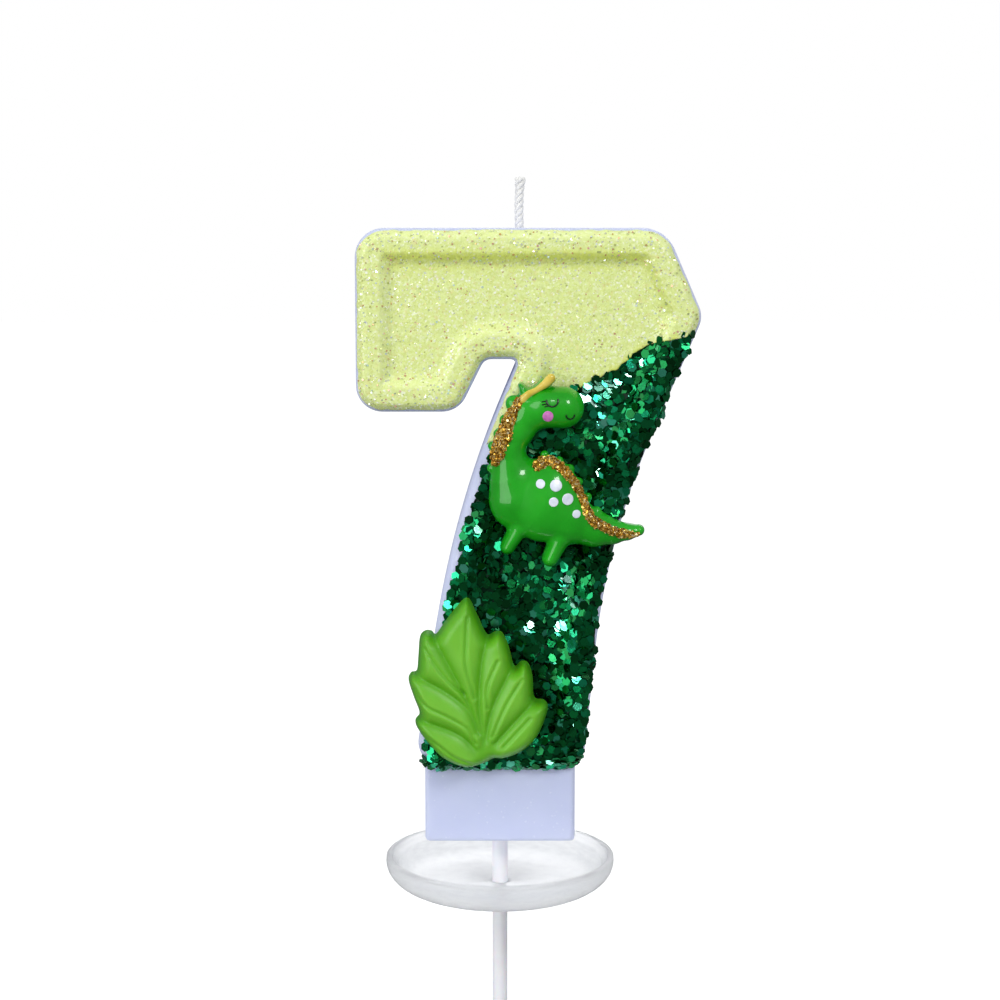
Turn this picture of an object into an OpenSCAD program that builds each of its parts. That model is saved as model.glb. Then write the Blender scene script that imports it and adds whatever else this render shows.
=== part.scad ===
// Number birthday candle in the shape of a 7, all sizes in millimetres.
// The origin is where the stick's axis crosses the underside of the drip tray,
// which is the surface of the cake. +Z is up and the decorated front faces -Y.

/* [Numeral] */
// Height of the numeral's top edge above the cake
numeral_top = 82; // [80:0.5:86]
// Reach of the top bar to the left of the stick
bar_left = 17.3; // [16.5:0.1:19]
// Reach of the shoulder to the right of the stick
shoulder_right = 24.3; // [23:0.1:26]
// Height of the top bar above the notch
bar_height = 15.6; // [15:0.1:16.5]
// Height of the arm at the left end of the bar
arm_height = 21.9; // [21:0.1:24]
// Width of the stem at its foot
foot_width = 20.7; // [19.5:0.1:22]
// Thickness of the wax from front to back
wax_depth = 12; // [10:0.5:13]
// Width of the flat crest of the raised border
border_crest = 1.1; // [0.8:0.1:1.5]
// Depth of the sunk panel inside the border
panel_sink = 1.1; // [0.6:0.1:1.6]

/* [Tang] */
// Height of the tang's underside above the cake
tang_bottom = 7.1; // [7:0.1:8]
// Width of the plain tang below the numeral
tang_width = 18.4; // [16:0.1:19]
// Thickness of the tang
tang_depth = 9.6; // [8:0.1:9.8]

/* [Glitter] */
// Thickness of the glitter coats
coat_thickness = 0.4; // [0.3:0.05:0.6]
// Width of the bare wax edge left around the coats
bare_edge = 0.6; // [0.4:0.1:0.8]
// Distance across the corners of one glitter flake
flake_size = 1.2; // [1:0.1:1.3]

/* [Stick and wick] */
// Diameter of the stick inside the wax and above the tray
shank_d = 1.95; // [1.9:0.01:2.05]
// Diameter of the stick below the tray
pin_d = 1.87; // [1.75:0.01:1.88]
// Length of the straight stretch below the tray
pin_length = 20; // [16:1:22]
// Whole length of the stick below the tray
stick_below = 30; // [25:1:40]
// Height of the stick's top end inside the wax
stick_top = 28; // [20:1:30]
// Diameter of the wick
wick_d = 1.1; // [0.9:0.1:1.3]
// Length of wick that stands out of the wax
wick_out = 5.5; // [4:0.5:10]

/* [Drip tray] */
// Diameter of the tray over its rim
tray_d = 28.5; // [27:0.1:30]
// Diameter of the tray's flat underside
tray_base_d = 17.8; // [17:0.1:19]
// Height of the tray
tray_height = 4.4; // [4:0.1:4.8]
// Wall thickness of the tray
tray_wall = 0.8; // [0.7:0.05:0.9]
// Radial clearance between the tray's hole and the stick
tray_clearance = 0.05; // [0.03:0.01:0.1]

/* [Charms] */
// How far the dinosaur's belly stands off the coat
dinosaur_depth = 3.8; // [3:0.1:4.5]
// How far the leaf stands off the coat
leaf_depth = 3.2; // [2.5:0.1:4]
// Thickness of the painted marks on the dinosaur
paint_thickness = 0.15; // [0.1:0.01:0.2]

/* [Hidden] */

arc_steps = 6;
$fn = 48;

half_depth = wax_depth / 2;
edge_round = 1.6;
slope_width = 1.3;
sharpest = 0.25;
panel_inset = edge_round + border_crest + slope_width;
body_bottom = 16.6;
notch_top = numeral_top - bar_height;
arm_bottom = numeral_top - arm_height;
foot_left = -foot_width / 2 - 0.15;
foot_right = foot_width / 2 - 0.15;
skin_gap = 0.02;

// Corners of the numeral seen from the front, anticlockwise from the foot: x, z, corner radius
corners = [
    [foot_left, body_bottom, 3],
    [foot_right, body_bottom, 3],
    [13.0, 45.0, 92],
    [shoulder_right, numeral_top - 10.5, 3],
    [shoulder_right - 4.6, numeral_top, 4.2],
    [-bar_left, numeral_top, 3.5],
    [-bar_left, arm_bottom, 3.2],
    [-5.0, arm_bottom, 3.2],
    [-1.85, notch_top, 1.3],
    [2.2, notch_top, 0.6],
    [-5.76, 47.6, 125]
];

// Line where the yellow coat meets the green one, from left to right: x, z
colour_line = [[-4, 54.5], [-1.8, 56.1], [4.8, 59.9], [9.2, 62.8], [13.9, 65.2], [16.6, 67.6], [26, 70.2]];
colour_gap = 0.15;

// Wick's way down through the wax, from its tip: x, z
wick_route = [[2.35, numeral_top + wick_out], [2.35, numeral_top - 5], [7.5, 64], [3.5, 32]];

charm_back = half_depth + coat_thickness + 0.1;
panel_front = half_depth - panel_sink + coat_thickness;

// Blobs of the dinosaur charm: x, z, radius, how far it stands off the coat
head = [[5.3, 60.9, 2.5, 3.2], [7.5, 60.8, 2.5, 3.0]];
neck = [
    [5.2, 60.9, 2.4, 3.0], [3.4, 60.2, 2.3, 2.8], [2.0, 58.2, 2.05, 2.6],
    [0.95, 55.8, 1.9, 2.7], [1.5, 52.4, 2.7, 3.2]
];
belly = [[2.6, 49.9, 3.95, 3.5], [5.2, 49.3, 4.6, dinosaur_depth], [7.6, 47.7, 3.25, 3.3]];
hump = [[4.6, 51.4, 3.3, 3.2], [6.0, 51.4, 3.3, 3.3]];
tail = [[7.6, 47.7, 3.2, 3.1], [11.3, 46.3, 2.15, 2.3], [15.2, 45.9, 0.95, 1.6], [16.6, 46.1, 0.7, 1.4]];
front_leg = [[2.2, 46.3, 1.15, 2.5], [0.9, 44.1, 0.92, 2.4]];
rear_leg = [[7.1, 45.0, 1.25, 2.7], [6.0, 42.7, 1.0, 2.5]];
crest = [[2.7, 61.8, 0.45, 2.9], [4.4, 63.0, 0.45, 3.1], [6.0, 64.3, 0.6, 3.1]];
neck_gold = [[2.3, 61.5, 0.5, 3.2], [1.3, 59.6, 0.8, 3.3], [0.4, 57.2, 0.95, 3.2], [-0.3, 54.6, 0.7, 3.1]];
back_gold = [
    [4.6, 54.0, 0.8, 3.0], [6.7, 54.0, 0.65, 3.2], [8.6, 52.0, 0.6, 3.4],
    [9.8, 49.6, 0.6, 3.2], [11.2, 47.3, 0.55, 2.8], [13.8, 45.95, 0.45, 2.2], [16.4, 45.7, 0.35, 1.7]
];
// Small bumps along the neck and the back: x, z
spikes = [
    [2.7, 62.7], [1.4, 61.3], [0.5, 59.3], [-0.2, 57.6], [-0.9, 56.2], [-1.0, 53.6],
    [5.3, 54.9], [7.0, 54.3], [8.2, 53.4], [9.3, 51.8], [10.3, 50.0], [11.4, 48.3], [12.8, 47.1], [14.6, 46.4]
];
spike_r = 0.65;
spots = [[4.75, 51.9, 0.55], [6.6, 51.8, 0.75], [6.3, 49.9, 0.55], [8.0, 50.1, 0.65], [9.1, 48.3, 0.5]];
cheek_at = [5.6, 59.9];
cheek_r = 0.65;
eyelid_at = [6.15, 61.75];
eyelid_r = 0.8;
smile_at = [8.3, 60.1];
smile_r = 0.55;
mark_width = 0.28;
dinosaur_glue_at = [5.2, 49.6];

// Lobes of the leaf charm, each from the base of the leaf outwards: x, z, radius, height
leaf_base = [-2.0, 20.2, 1.9, 2.0];
leaf_lobes = [
    [[-3.4, 27.6, 3.2, leaf_depth], [-4.0, 33.8, 2.1, 2.6], [-4.0, 36.6, 0.9, 1.6]],
    [[-5.4, 27.2, 2.8, leaf_depth], [-8.3, 32.2, 1.3, 2.2]],
    [[-5.8, 24.6, 2.8, leaf_depth], [-9.4, 27.4, 1.3, 2.2]],
    [[-5.8, 22.2, 2.6, 2.8], [-8.7, 22.2, 1.3, 2.0]],
    [[-4.4, 20.2, 2.6, 2.4], [-6.2, 20.2, 1.9, 2.0]],
    [[-1.8, 27.6, 3.0, leaf_depth], [-0.3, 32.0, 1.3, 2.4]],
    [[-0.2, 25.0, 2.8, leaf_depth], [2.4, 28.2, 1.3, 2.2]],
    [[1.2, 22.0, 2.8, 2.8], [4.1, 23.8, 1.3, 2.0]],
    [[0.8, 20.5, 2.0, 2.2], [2.6, 20.9, 1.7, 1.8]]
];
// Edge of the leaf charm, anticlockwise from its point: x, z
leaf_edge = [
    [-4.0, 37.8], [-5.4, 36.6], [-6.6, 34.9], [-7.7, 33.3], [-8.8, 33.9], [-9.7, 33.1], [-9.8, 30.9],
    [-10.0, 29.0], [-10.8, 28.6], [-11.0, 27.5], [-10.3, 25.6], [-9.7, 23.8], [-10.2, 22.6], [-9.7, 21.5],
    [-8.4, 19.7], [-6.7, 18.0], [-4.1, 17.1], [-1.6, 17.7], [-0.7, 18.2], [0.3, 18.2], [2.2, 18.8],
    [4.0, 20.2], [5.0, 22.2], [5.7, 24.6], [5.0, 25.5], [4.1, 25.7], [3.7, 29.3], [2.6, 30.1], [1.7, 29.4],
    [0.8, 32.6], [-0.5, 33.8], [-1.6, 33.5], [-2.9, 36.0]
];
leaf_plate = 1.2;
leaf_glue_at = [-2.6, 25.6];
glue_dab_r = 2.6;

tray_rim_r = tray_d / 2;
tray_hole_r = shank_d / 2 + tray_clearance;
tip_r = 0.4;
// Height over which the stick widens from its pin to its shank, inside the tray's hole
step_length = 0.8;

// Flakes on the sunk panel of the stem: loose rows between its left and right edges, each given as z, x
flake_pitch = 1.9;
flake_rows = [for (z = [body_bottom + panel_inset + 0.8:flake_pitch * 0.87:58]) z];
stem_left = [[body_bottom, foot_left], [47.6, -5.0], [notch_top, 2.2]];
stem_right = [[body_bottom, foot_right], [45, 14], [numeral_top - 10.5, shoulder_right]];
function clear_of(x, z, dab) = norm([x, z] - dab) > glue_dab_r + flake_size / 2 + 0.1;
flake_places = [for (row = [0:len(flake_rows) - 1])
    let (
        z = flake_rows[row],
        first = lookup(z, stem_left) + panel_inset + 1.6 + (row % 2) * flake_pitch / 2,
        final = lookup(z, stem_right) - panel_inset - 1.4
    )
    for (x = [first:flake_pitch:final])
        if (clear_of(x, z, dinosaur_glue_at) && clear_of(x, z, leaf_glue_at)) [x, z]];
flake_turns = rands(0, 60, len(flake_places), 7);

// Outline geometry: a list of rounded corners, moved inwards by a given inset
function unit(v) = v / norm(v);
function inward(v) = [-v[1], v[0]];
function turned(v, a) = [v[0] * cos(a) - v[1] * sin(a), v[0] * sin(a) + v[1] * cos(a)];
function xz(corner) = [corner[0], corner[1]];
function corner_arc(before, at, after, inset) =
    let (
        way_in = unit(xz(at) - xz(before)),
        way_out = unit(xz(after) - xz(at)),
        n_in = inward(way_in),
        n_out = inward(way_out),
        bisector = (n_in + n_out) / (1 + n_in * n_out),
        turn = atan2(way_in[0] * way_out[1] - way_in[1] * way_out[0], way_in * way_out),
        side = sign(turn),
        radius = side > 0 ? max(at[2] - inset, sharpest) : at[2] + inset,
        centre = xz(at) + (inset + side * radius) * bisector
    )
    [for (k = [0:arc_steps]) centre - side * radius * turned(n_in, turn * k / arc_steps)];
function outline(inset = 0) =
    let (count = len(corners))
    [for (i = [0:count - 1])
        each corner_arc(corners[(i + count - 1) % count], corners[i], corners[(i + 1) % count], inset)];

// Section through the front of the numeral: inset from its edge, distance in front of its middle
round_over = [for (a = [0:22.5:90]) [edge_round * (1 - cos(a)), half_depth - edge_round * (1 - sin(a))]];
inner_slope = [for (t = [0:0.25:1])
    [edge_round + border_crest + slope_width * t, half_depth - panel_sink * (1 - cos(180 * t)) / 2]];
front_section = concat(round_over, inner_slope);
back_section = [for (i = [len(round_over) - 1:-1:0]) [round_over[i][0], -round_over[i][1]]];

// The same section where a coat of glitter covers it, lifted off the wax
function coat_start() = half_depth - edge_round + sqrt(pow(edge_round, 2) - pow(edge_round - bare_edge, 2));
function coated(lift) = [
    [bare_edge, coat_start() + lift],
    each [for (s = front_section) if (s[0] > bare_edge + sharpest) s + [0, lift]]
];

// Solid lofted through copies of the outline, from the rear ring to the front one.
// The section lists each ring's inset and its distance in front of the numeral's middle.
module lofted(section) {
    rings = [for (s = section) [for (p = outline(s[0])) [p[0], -s[1], p[1]]]];
    per_ring = len(rings[0]);
    last = len(rings) - 1;
    sides = [for (r = [0:last - 1], k = [0:per_ring - 1])
        let (a = r * per_ring + k, b = r * per_ring + (k + 1) % per_ring)
        each [[a, b + per_ring, b], [a, a + per_ring, b + per_ring]]];
    back_cap = [for (k = [0:per_ring - 1]) k];
    front_cap = [for (k = [per_ring - 1:-1:0]) last * per_ring + k];
    polyhedron(
        points = [for (ring = rings) each ring],
        faces = concat(sides, [back_cap, front_cap]),
        convexity = 6
    );
}

// Stands a flat drawing up, from y = -front back to y = -rear
module upright(front, rear = 0) {
    translate([0, -rear, 0]) rotate([90, 0, 0]) linear_extrude(front - rear) children();
}

// Joins what is inside into one skin and leaves its size alone
module one_skin() {
    resize([0, 0, 0]) children();
}

// Round cord along the wick's route
module wick_run() {
    for (i = [0:len(wick_route) - 2]) hull()
        for (p = [wick_route[i], wick_route[i + 1]])
            translate([p[0], 0, p[1]]) sphere(d = wick_d, $fn = 16);
}

module wax_numeral() {
    color("lavender") difference() {
        one_skin() difference() {
            union() {
                lofted(concat(back_section, front_section));
                translate([-tang_width / 2, -tang_depth / 2, tang_bottom])
                    cube([tang_width, tang_depth, body_bottom - tang_bottom + 2]);
            }
            wick_run();
        }
        cylinder(d = shank_d, h = stick_top);
    }
}

module wick() {
    color("white") one_skin() wick_run();
}

// Skin of glitter over the front of the numeral, inside the drawing given as a child
module coat() {
    outside = coated(coat_thickness);
    inside = coated(skin_gap);
    one_skin() intersection() {
        lofted(concat([for (i = [len(inside) - 1:-1:0]) inside[i]], outside));
        upright(wax_depth) children();
    }
}

module yellow_glitter_coat() {
    color("khaki") coat() polygon(concat(
        [for (p = colour_line) p + [0, colour_gap / 2]],
        [[shoulder_right + 5, numeral_top + 5], [-bar_left - 5, numeral_top + 5], [-bar_left - 5, 54.5]]
    ));
}

module green_glue_bed() {
    color("darkgreen") coat() polygon(concat(
        [[-bar_left, 10], [shoulder_right + 5, 10]],
        [for (i = [len(colour_line) - 1:-1:0]) colour_line[i] - [0, colour_gap / 2]],
        [[-bar_left, 54.5]]
    ));
}

// Six-sided flakes lying flat on the sunk panel of the stem
module green_glitter_flakes() {
    color("seagreen") for (i = [0:len(flake_places) - 1])
        translate([flake_places[i][0], -panel_front - skin_gap, flake_places[i][1]])
            rotate([90, 0, 0]) rotate([0, 0, flake_turns[i]]) cylinder(d = flake_size, h = 0.1, $fn = 6);
}

// One flattened ball of a charm, standing off the charms' common back plane
module blob(b) {
    translate([b[0], -charm_back, b[1]]) scale([b[2], b[3], b[2]]) sphere(r = 1, $fn = 20);
}

module limb(path) {
    for (i = [0:len(path) - 2]) hull() {
        blob(path[i]);
        blob(path[i + 1]);
    }
}

// Keeps only what is in front of the charms' back plane
module front_half() {
    intersection() {
        children();
        translate([-50, -charm_back - 20, 0]) cube([100, 20, 100]);
    }
}

module dinosaur_shape() {
    front_half() {
        limb(head);
        limb(neck);
        limb(belly);
        limb(hump);
        limb(tail);
        limb(front_leg);
        limb(rear_leg);
        for (s = spikes) blob([s[0], s[1], spike_r, 1.6]);
    }
}

module dinosaur_charm() {
    color("limegreen") one_skin() dinosaur_shape();
}

// What stands proud of the dinosaur along a path
module on_dinosaur(path) {
    one_skin() difference() {
        front_half() limb(path);
        dinosaur_shape();
    }
}

module dinosaur_crest() {
    color("gold") on_dinosaur(crest);
}

module neck_gold_glitter() {
    color("goldenrod") difference() {
        on_dinosaur(neck_gold);
        one_skin() front_half() limb(crest);
    }
}

module back_gold_glitter() {
    color("goldenrod") on_dinosaur(back_gold);
}

// Thin layer of paint on the dinosaur, inside the drawing given as a child
module painted() {
    one_skin() intersection() {
        difference() {
            translate([0, -paint_thickness, 0]) dinosaur_shape();
            dinosaur_shape();
        }
        upright(20) children();
    }
}

// Lower part of a ring, opening upwards
module mark_arc(at, r) {
    translate(at) intersection() {
        difference() {
            circle(r = r, $fn = 24);
            circle(r = r - mark_width, $fn = 24);
        }
        translate([-r, -r]) square([2 * r, r]);
    }
}

module dinosaur_eyelid() {
    color("black") painted() mark_arc(eyelid_at, eyelid_r);
}

module dinosaur_smile() {
    color("black") painted() mark_arc(smile_at, smile_r);
}

module dinosaur_cheek() {
    color("hotpink") painted() translate(cheek_at) circle(r = cheek_r, $fn = 20);
}

module dinosaur_spots() {
    color("white") painted() for (s = spots) translate(xz(s)) circle(r = s[2], $fn = 20);
}

// Dab of glue between the sunk panel and the back of a charm
module glue_dab(at) {
    color("white") upright(charm_back - skin_gap, panel_front + skin_gap)
        translate(at) circle(r = glue_dab_r);
}

module dinosaur_glue_dab() {
    glue_dab(dinosaur_glue_at);
}

module leaf_charm() {
    color("yellowgreen") one_skin() {
        front_half() for (lobe = leaf_lobes) limb(concat([leaf_base], lobe));
        upright(charm_back + leaf_plate, charm_back) polygon(leaf_edge);
    }
}

module leaf_glue_dab() {
    glue_dab(leaf_glue_at);
}

module stick() {
    color("white") {
        translate([0, 0, step_length]) cylinder(d = shank_d, h = stick_top - step_length);
        cylinder(d1 = pin_d, d2 = shank_d, h = step_length);
        translate([0, 0, -pin_length]) cylinder(d = pin_d, h = pin_length);
        translate([0, 0, -stick_below + tip_r])
            cylinder(r1 = tip_r, d2 = pin_d, h = stick_below - pin_length - tip_r);
        translate([0, 0, -stick_below + tip_r]) sphere(r = tip_r);
    }
}

// Section through the tray's wall: a quarter ellipse from a flat base up to an upright rim
function wall_curve(base_r, base_z, rim_r, rim_z) =
    [for (a = [0:7.5:90]) [base_r + (rim_r - base_r) * sin(a), rim_z - (rim_z - base_z) * cos(a)]];

module drip_tray() {
    lip_r = tray_wall / 2;
    lip_z = tray_height - lip_r;
    outside = wall_curve(tray_base_d / 2, 0, tray_rim_r, lip_z);
    inside = wall_curve(tray_base_d / 2 - tray_wall, tray_wall, tray_rim_r - tray_wall, lip_z);
    lip = [for (a = [30:30:150]) [tray_rim_r - lip_r + lip_r * cos(a), lip_z + lip_r * sin(a)]];
    color("gainsboro") rotate_extrude() polygon(concat(
        [[tray_hole_r, 0]],
        outside,
        lip,
        [for (i = [len(inside) - 1:-1:0]) inside[i]],
        [[tray_hole_r, tray_wall]]
    ));
}

wax_numeral();
wick();
yellow_glitter_coat();
green_glue_bed();
green_glitter_flakes();
dinosaur_charm();
dinosaur_crest();
neck_gold_glitter();
back_gold_glitter();
dinosaur_eyelid();
dinosaur_smile();
dinosaur_cheek();
dinosaur_spots();
dinosaur_glue_dab();
leaf_charm();
leaf_glue_dab();
stick();
drip_tray();
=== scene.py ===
"""Looks of the number birthday candle: wax seven, glitter coats, resin charms, stick and drip tray.

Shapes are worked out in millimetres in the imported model's frame and written in metres.
The decorated front faces -Y, +Z is up, and the cake's surface is at z = 0.
"""

import math
from functools import reduce

import bpy
import numpy as np
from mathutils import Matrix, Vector

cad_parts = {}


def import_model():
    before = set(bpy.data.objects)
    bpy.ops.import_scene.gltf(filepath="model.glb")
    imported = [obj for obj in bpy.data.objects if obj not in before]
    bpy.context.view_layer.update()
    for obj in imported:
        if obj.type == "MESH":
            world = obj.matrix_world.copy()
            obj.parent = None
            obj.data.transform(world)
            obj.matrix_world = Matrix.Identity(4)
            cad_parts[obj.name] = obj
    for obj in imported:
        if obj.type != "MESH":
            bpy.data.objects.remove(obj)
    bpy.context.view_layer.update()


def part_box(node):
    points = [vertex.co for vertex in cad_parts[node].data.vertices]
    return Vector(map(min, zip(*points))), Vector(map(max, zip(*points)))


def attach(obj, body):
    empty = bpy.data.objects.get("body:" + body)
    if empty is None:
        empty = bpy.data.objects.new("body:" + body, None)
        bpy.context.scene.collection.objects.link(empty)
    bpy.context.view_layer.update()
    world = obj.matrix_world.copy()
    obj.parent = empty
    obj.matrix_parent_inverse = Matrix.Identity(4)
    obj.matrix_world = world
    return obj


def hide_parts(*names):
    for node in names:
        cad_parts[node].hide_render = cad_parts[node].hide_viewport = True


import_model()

MM = 0.001
SEED = 7


def box_mm(node):
    """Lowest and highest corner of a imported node, in millimetres."""
    low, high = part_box(node)
    return np.array(low) / MM, np.array(high) / MM


# ---- sizes, in millimetres

WAX_LOW, WAX_HIGH = box_mm("wax_numeral")
DINO_LOW, DINO_HIGH = box_mm("dinosaur_charm")
LEAF_LOW, LEAF_HIGH = box_mm("leaf_charm")
STICK_BOTTOM, STICK_TOP = (corner[2] for corner in box_mm("stick"))
TRAY_RIM, _, TRAY_TOP = box_mm("drip_tray")[1]
WICK_TOP = box_mm("wick")[1][2]

# The wax's half thickness, heights and sides
HALF = WAX_HIGH[1]
TOP = WAX_HIGH[2]
TANG_BOTTOM = WAX_LOW[2]
BODY_BOTTOM = 16.6
NOTCH_TOP = TOP - 15.6
ARM_BOTTOM = TOP - 21.9
ARM_LEFT = -17.3
SHOULDER = 24.3
STEM_LEFT = -10.6
TANG_HALF = (9.2, 4.8)

# Its edge radius, the insets where the border's slope starts and ends, and the panel's depth
ROUND = 1.6
CREST = 2.7
PANEL = 4.6
SINK = 1.1

# The yellow coat's thickness and bare edge, and how far down and up the two coats can go
COAT = 0.4
BARE_EDGE = 0.3
YELLOW_LOWEST = 54
GREEN_HIGHEST = 71
COAT_FRONT, COAT_BACK = -HALF - 0.8, -HALF + 2.0

# How far the charms' flat backs stand in front of the wax's middle
CHARM_BACK = -DINO_HIGH[1]

# Corners of the numeral seen from the front, anticlockwise from the foot: x, z, corner radius
CORNERS = [
    (-10.5, BODY_BOTTOM, 3), (10.2, BODY_BOTTOM, 3), (13.0, 45.0, 92),
    (SHOULDER, TOP - 10.5, 3), (SHOULDER - 4.6, TOP, 4.2), (ARM_LEFT, TOP, 3.5),
    (ARM_LEFT, ARM_BOTTOM, 3.2), (-5.0, ARM_BOTTOM, 3.2), (-1.85, NOTCH_TOP, 1.3),
    (2.2, NOTCH_TOP, 0.6), (-5.76, 47.6, 125),
]

# Line where the yellow coat meets the green one: x, z
COLOUR_LINE = np.array([
    (-4, 54.5), (-1.8, 56.1), (4.8, 59.9), (9.2, 62.8), (13.9, 65.2), (16.6, 67.6), (26, 70.2),
])

# Patches where the green flakes settled facing the light, and where their colour is a painted highlight: x,
# z, radius, how unevenly in degrees
GLINTS = [
    (11.6, 62.4, 1.7, 9), (13.3, 63.6, 0.9, 6), (15.5, 65.3, 0.6, 5), (17.5, 65.8, 0.5, 5),
    (12.5, 59.0, 0.9, 9), (12.3, 52.2, 0.6, 6), (3.5, 55.1, 0.7, 9), (-2.8, 46.0, 0.6, 7),
    (8.1, 39.3, 0.9, 8), (9.0, 37.4, 0.7, 8), (3.9, 33.7, 0.7, 3), (7.5, 33.8, 0.9, 3),
    (6.7, 29.5, 0.5, 5), (9.2, 28.1, 0.4, 3), (9.0, 22.0, 0.4, 5), (6.0, 17.5, 0.4, 6), (-6.2, 37.3, 0.4, 6),
]

# The key light, the camera, and its tilt in degrees
KEY = np.array([250, -370, 370])
EYE = np.array([0, -244.39, 77.35])
TILT = 6.64

# Blobs of the dinosaur: x, z, radius, how far it stands off its back
HEAD = [(5.3, 60.9, 2.5, 3.4), (7.5, 60.8, 2.5, 3.2)]
NECK = [
    (5.2, 60.9, 2.4, 3.2), (3.4, 60.2, 2.3, 3.0), (2.0, 58.2, 2.05, 2.8),
    (0.95, 55.8, 1.9, 2.8), (1.5, 52.4, 2.7, 3.2),
]
BELLY = [(2.6, 49.9, 3.95, 3.6), (5.2, 49.3, 4.6, 4.0), (7.6, 47.7, 3.25, 3.4)]
HUMP = [(4.6, 51.4, 3.3, 3.3), (6.0, 51.4, 3.3, 3.4)]
TAIL = [
    (7.6, 47.7, 3.2, 3.2), (11.3, 46.3, 2.15, 2.4), (13.5, 45.9, 1.45, 1.9),
    (15.2, 45.9, 0.95, 1.7), (16.6, 46.1, 0.7, 1.5),
]
LEGS = [
    [(2.2, 46.3, 1.15, 2.6), (0.9, 44.1, 0.92, 2.5)],
    [(7.1, 45.0, 1.25, 2.8), (6.0, 42.7, 1.0, 2.6)],
]
EAR = [(3.3, 62.0, 1.1, 2.6), (2.5, 63.4, 0.42, 2.3)]

# The dinosaur's bumps, crest, gold lines and marks: x, z, radius
BUMPS = [
    (1.65, 61.3, 1.0), (0.5, 59.4, 0.55), (-0.25, 57.7, 0.55), (-0.95, 56.25, 0.5), (-1.0, 53.6, 0.55),
    (5.3, 55.2, 0.5), (7.05, 54.5, 0.5), (8.35, 53.55, 0.5), (9.4, 51.95, 0.5), (10.45, 50.15, 0.5),
    (11.6, 48.5, 0.5), (12.95, 47.3, 0.5), (14.8, 46.5, 0.45),
]
CREST_LINE = [
    (2.7, 61.83, 0.5), (3.36, 62.5, 0.42), (4.36, 63.0, 0.36), (5.35, 63.72, 0.5), (6.0, 64.35, 0.55),
]
NECK_GOLD = [
    (2.37, 61.66, 0.45), (1.87, 60.67, 0.62), (1.35, 59.66, 0.75), (0.7, 57.84, 0.95),
    (0.15, 56.58, 0.95), (-0.15, 55.35, 0.85), (-0.3, 54.5, 0.6),
]
BACK_GOLD = [
    (4.6, 53.9, 0.75), (5.56, 54.4, 0.75), (6.74, 53.9, 0.66), (7.67, 53.1, 0.62), (8.59, 51.95, 0.58),
    (9.25, 50.75, 0.58), (9.78, 49.55, 0.56), (10.3, 48.4, 0.55), (11.24, 47.25, 0.55), (12.5, 46.5, 0.5),
    (13.8, 46.05, 0.45), (15.46, 45.7, 0.38), (16.4, 45.8, 0.3),
]
SPOTS = [
    (4.77, 51.98, 0.55), (6.61, 51.79, 0.72), (6.32, 49.87, 0.56), (8.0, 50.13, 0.68), (9.05, 48.35, 0.5),
]
CHEEK = (5.64, 59.92, 0.64)
EYELID = (6.15, 61.75, 0.68)
SMILE = (8.28, 60.05, 0.5)

# The leaf's edge, anticlockwise from its point, the creases between its lobes, and their veins: x, z
LEAF_EDGE = np.array([
    (-3.9, 37.8), (-5.3, 36.6), (-6.6, 34.9), (-7.7, 33.4), (-8.3, 33.8), (-9.0, 33.8), (-9.6, 33.1),
    (-9.8, 30.9), (-10.0, 29.0), (-10.7, 28.7), (-11.0, 27.8), (-10.4, 25.8), (-9.7, 23.8), (-10.2, 22.9),
    (-9.9, 21.8), (-8.4, 19.7), (-6.7, 18.1), (-4.1, 17.1), (-1.7, 17.7), (-0.7, 18.2), (0.3, 18.2),
    (2.2, 18.8), (4.0, 20.2), (5.1, 22.2), (5.75, 24.4), (5.3, 25.3), (4.1, 25.7), (3.9, 28.2), (3.4, 29.8),
    (2.6, 30.1), (1.7, 29.5), (0.95, 32.1), (0.2, 33.6), (-0.6, 33.7), (-1.6, 33.4), (-2.8, 35.8),
])
LEAF_BASE = (-1.7, 19.2)
LEAF_CREASES = [
    [(-1.35, 33.7), (-2.1, 31.1), (-2.5, 27.7), (-2.5, 24.6), (-2.1, 21.6), (-1.8, 19.9)],
    [(1.5, 29.8), (-0.6, 25.6), (-1.45, 22.8), (-1.75, 20.4)],
    [(4.2, 25.6), (1.5, 22.8), (-0.6, 20.4)],
    [(-7.85, 33.1), (-6.2, 30.0), (-4.35, 26.5), (-3.3, 24.0), (-2.4, 21.6)],
    [(-9.9, 28.5), (-6.6, 26.8), (-3.9, 24.6), (-2.7, 21.9)],
    [(-9.7, 23.3), (-5.1, 21.6), (-2.7, 19.5)],
]
LEAF_VEINS = [
    [(-3.9, 35.8), (-4.05, 33.2), (-4.05, 30.0), (-3.05, 26.0)],
    [(-9.0, 32.0), (-7.7, 30.0), (-5.9, 27.8), (-4.2, 26.5)],
    [(-10.4, 27.1), (-8.9, 25.1), (-6.3, 23.8), (-4.0, 22.4), (-2.9, 20.5)],
    [(-9.9, 21.8), (-7.7, 20.5), (-5.6, 18.9), (-3.5, 18.0)],
    [(-0.25, 30.6), (-1.5, 27.5), (-1.5, 24.8)],
    [(2.6, 28.3), (0.65, 25.0), (-0.9, 21.3)],
    [(3.6, 23.5), (0.4, 20.0)],
]

# Dabs of glue behind the charms: x, z, and the radius of both
DINO_GLUE = (5.2, 49.6)
LEAF_GLUE = (-2.6, 25.6)
GLUE_R = 2.6


# ---- drawing in the front plane

def unit(v):
    """The vector, or each row of vectors, at length one."""
    return v / np.linalg.norm(v, axis=-1, keepdims=True)


def eased(t):
    """Smooth step from 0 to 1."""
    t = np.clip(t, 0, 1)
    return t * t * (3 - 2 * t)


def round_over(t):
    """Quarter circle from 0 to 1."""
    return np.sqrt(np.clip(1 - (1 - np.clip(t, 0, 1)) ** 2, 0, 1))


def left_of(v):
    """The vector turned a quarter anticlockwise."""
    return np.array([-v[1], v[0]])


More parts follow.
